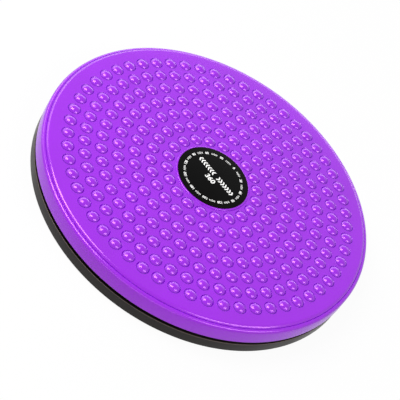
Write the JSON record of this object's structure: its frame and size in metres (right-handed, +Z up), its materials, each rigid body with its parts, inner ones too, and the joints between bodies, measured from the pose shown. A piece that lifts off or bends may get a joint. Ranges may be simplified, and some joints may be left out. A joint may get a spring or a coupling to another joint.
{
  "type": "waist twisting disc",
  "caption": "Round waist twisting disc: a domed top plate of rounded studs turns on caged steel balls over a low base on rubber pads.",
  "frame": {"origin": "centre of the foot pads' underside, on the turning axis, where the disc stands on the floor", "axes": "+Z up along the turning axis; +X runs through the stud that starts every ring; +Y completes a right-handed frame"},
  "size_m": [0.25, 0.25, 0.0302],
  "materials": {
    "top_plastic": "glossy injection-moulded polypropylene",
    "cap_plastic": "satin injection-moulded plastic",
    "label_film": "satin printed vinyl film",
    "base_plastic": "satin injection-moulded polypropylene",
    "cage_nylon": "natural moulded nylon",
    "bush_nylon": "turned natural nylon",
    "insert_nylon": "moulded nylon ring",
    "zinc_steel": "zinc-plated steel",
    "ball_steel": "ground and polished chrome steel",
    "foot_rubber": "matte moulded rubber"
  },
  "bodies": {
    "base": {"base_disc": "base_plastic", "foot_pad_1": "foot_rubber", "foot_pad_2": "foot_rubber", "foot_pad_3": "foot_rubber", "foot_pad_4": "foot_rubber", "foot_pad_5": "foot_rubber", "foot_pad_6": "foot_rubber", "foot_pad_7": "foot_rubber", "foot_pad_8": "foot_rubber", "pivot_bolt": "zinc_steel", "nut_washer": "zinc_steel", "lock_nut": "zinc_steel", "nut_insert": "insert_nylon"},
    "top": {"top_disc": "top_plastic", "centre_cap": "cap_plastic", "dial_label": "label_film", "head_washer": "zinc_steel", "pivot_bush": "bush_nylon"},
    "cage": {"ball_cage": "cage_nylon"},
    "ball_01": {"ball_01": "ball_steel"},
    "ball_02": {"ball_02": "ball_steel"},
    "ball_03": {"ball_03": "ball_steel"},
    "ball_04": {"ball_04": "ball_steel"},
    "ball_05": {"ball_05": "ball_steel"},
    "ball_06": {"ball_06": "ball_steel"},
    "ball_07": {"ball_07": "ball_steel"},
    "ball_08": {"ball_08": "ball_steel"},
    "ball_09": {"ball_09": "ball_steel"},
    "ball_10": {"ball_10": "ball_steel"},
    "ball_11": {"ball_11": "ball_steel"},
    "ball_12": {"ball_12": "ball_steel"},
    "ball_13": {"ball_13": "ball_steel"},
    "ball_14": {"ball_14": "ball_steel"},
    "ball_15": {"ball_15": "ball_steel"},
    "ball_16": {"ball_16": "ball_steel"},
    "ball_17": {"ball_17": "ball_steel"},
    "ball_18": {"ball_18": "ball_steel"}
  },
  "joints": [
    {"name": "top_spin", "type": "hinge", "parent": "base", "child": "top", "pos_m": [0, 0, 0.0158], "axis": [0, 0, 1], "continuous": true},
    {"name": "cage_orbit", "type": "hinge", "parent": "base", "child": "cage", "pos_m": [0, 0, 0.0158], "axis": [0, 0, 1], "continuous": true},
    {"name": "ball_01_roll", "type": "hinge", "parent": "cage", "child": "ball_01", "pos_m": [0.092, 0, 0.0158], "axis": [1, 0, 0], "continuous": true},
    {"name": "ball_02_roll", "type": "hinge", "parent": "cage", "child": "ball_02", "pos_m": [0.08645, 0.03147, 0.0158], "axis": [0.9397, 0.342, 0], "continuous": true},
    {"name": "ball_03_roll", "type": "hinge", "parent": "cage", "child": "ball_03", "pos_m": [0.07048, 0.05914, 0.0158], "axis": [0.766, 0.6428, 0], "continuous": true},
    {"name": "ball_04_roll", "type": "hinge", "parent": "cage", "child": "ball_04", "pos_m": [0.046, 0.07967, 0.0158], "axis": [0.5, 0.866, 0], "continuous": true},
    {"name": "ball_05_roll", "type": "hinge", "parent": "cage", "child": "ball_05", "pos_m": [0.01598, 0.0906, 0.0158], "axis": [0.1736, 0.9848, 0], "continuous": true},
    {"name": "ball_06_roll", "type": "hinge", "parent": "cage", "child": "ball_06", "pos_m": [-0.01598, 0.0906, 0.0158], "axis": [-0.1736, 0.9848, 0], "continuous": true},
    {"name": "ball_07_roll", "type": "hinge", "parent": "cage", "child": "ball_07", "pos_m": [-0.046, 0.07967, 0.0158], "axis": [-0.5, 0.866, 0], "continuous": true},
    {"name": "ball_08_roll", "type": "hinge", "parent": "cage", "child": "ball_08", "pos_m": [-0.07048, 0.05914, 0.0158], "axis": [-0.766, 0.6428, 0], "continuous": true},
    {"name": "ball_09_roll", "type": "hinge", "parent": "cage", "child": "ball_09", "pos_m": [-0.08645, 0.03147, 0.0158], "axis": [-0.9397, 0.342, 0], "continuous": true},
    {"name": "ball_10_roll", "type": "hinge", "parent": "cage", "child": "ball_10", "pos_m": [-0.092, 0, 0.0158], "axis": [-1, 0, 0], "continuous": true},
    {"name": "ball_11_roll", "type": "hinge", "parent": "cage", "child": "ball_11", "pos_m": [-0.08645, -0.03147, 0.0158], "axis": [-0.9397, -0.342, 0], "continuous": true},
    {"name": "ball_12_roll", "type": "hinge", "parent": "cage", "child": "ball_12", "pos_m": [-0.07048, -0.05914, 0.0158], "axis": [-0.766, -0.6428, 0], "continuous": true},
    {"name": "ball_13_roll", "type": "hinge", "parent": "cage", "child": "ball_13", "pos_m": [-0.046, -0.07967, 0.0158], "axis": [-0.5, -0.866, 0], "continuous": true},
    {"name": "ball_14_roll", "type": "hinge", "parent": "cage", "child": "ball_14", "pos_m": [-0.01598, -0.0906, 0.0158], "axis": [-0.1736, -0.9848, 0], "continuous": true},
    {"name": "ball_15_roll", "type": "hinge", "parent": "cage", "child": "ball_15", "pos_m": [0.01598, -0.0906, 0.0158], "axis": [0.1736, -0.9848, 0], "continuous": true},
    {"name": "ball_16_roll", "type": "hinge", "parent": "cage", "child": "ball_16", "pos_m": [0.046, -0.07967, 0.0158], "axis": [0.5, -0.866, 0], "continuous": true},
    {"name": "ball_17_roll", "type": "hinge", "parent": "cage", "child": "ball_17", "pos_m": [0.07048, -0.05914, 0.0158], "axis": [0.766, -0.6428, 0], "continuous": true},
    {"name": "ball_18_roll", "type": "hinge", "parent": "cage", "child": "ball_18", "pos_m": [0.08645, -0.03147, 0.0158], "axis": [0.9397, -0.342, 0], "continuous": true}
  ],
  "couplings": [
    {"joint": "cage_orbit", "follows": "top_spin", "ratio": 0.5},
    {"joint": "ball_01_roll", "follows": "top_spin", "ratio": -11.5},
    {"joint": "ball_02_roll", "follows": "top_spin", "ratio": -11.5},
    {"joint": "ball_03_roll", "follows": "top_spin", "ratio": -11.5},
    {"joint": "ball_04_roll", "follows": "top_spin", "ratio": -11.5},
    {"joint": "ball_05_roll", "follows": "top_spin", "ratio": -11.5},
    {"joint": "ball_06_roll", "follows": "top_spin", "ratio": -11.5},
    {"joint": "ball_07_roll", "follows": "top_spin", "ratio": -11.5},
    {"joint": "ball_08_roll", "follows": "top_spin", "ratio": -11.5},
    {"joint": "ball_09_roll", "follows": "top_spin", "ratio": -11.5},
    {"joint": "ball_10_roll", "follows": "top_spin", "ratio": -11.5},
    {"joint": "ball_11_roll", "follows": "top_spin", "ratio": -11.5},
    {"joint": "ball_12_roll", "follows": "top_spin", "ratio": -11.5},
    {"joint": "ball_13_roll", "follows": "top_spin", "ratio": -11.5},
    {"joint": "ball_14_roll", "follows": "top_spin", "ratio": -11.5},
    {"joint": "ball_15_roll", "follows": "top_spin", "ratio": -11.5},
    {"joint": "ball_16_roll", "follows": "top_spin", "ratio": -11.5},
    {"joint": "ball_17_roll", "follows": "top_spin", "ratio": -11.5},
    {"joint": "ball_18_roll", "follows": "top_spin", "ratio": -11.5}
  ]
}
